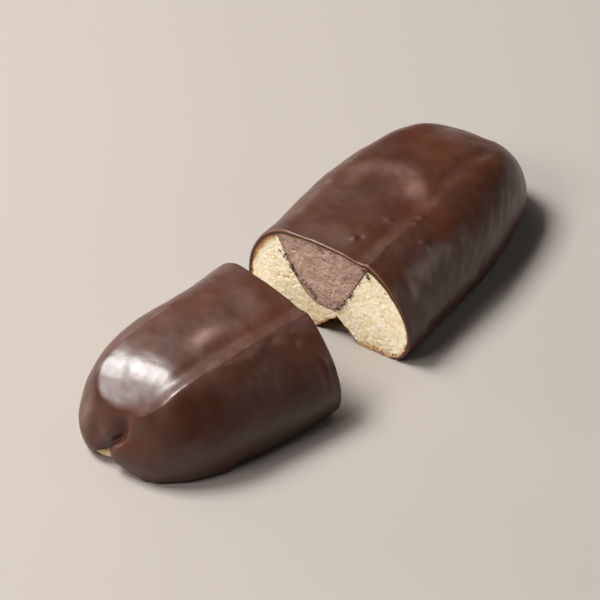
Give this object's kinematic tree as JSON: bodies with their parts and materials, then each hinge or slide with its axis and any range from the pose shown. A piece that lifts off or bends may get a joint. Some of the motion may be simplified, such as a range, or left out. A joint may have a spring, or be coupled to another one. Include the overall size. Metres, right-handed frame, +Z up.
{
  "type": "chocolate cream bun",
  "caption": "Folded sponge bun filled with a wedge of chocolate cream and coated in dark chocolate, cut across with its halves drawn a little apart.",
  "frame": {"origin": "middle of the footprint of both halves, on the surface they rest on", "axes": "+X along the bun, from the front half towards the rear half's tip; +Z up"},
  "size_m": [0.1506, 0.0576, 0.0282],
  "materials": {
    "sponge": "matte, fine open crumb",
    "cream": "satin, whipped cocoa cream",
    "chocolate": "satin gloss, dipped dark chocolate"
  },
  "bodies": {
    "root": {"rear_sponge": "sponge", "rear_cream": "cream", "rear_chocolate": "chocolate", "front_sponge": "sponge", "front_cream": "cream", "front_chocolate": "chocolate"}
  },
  "joints": []
}
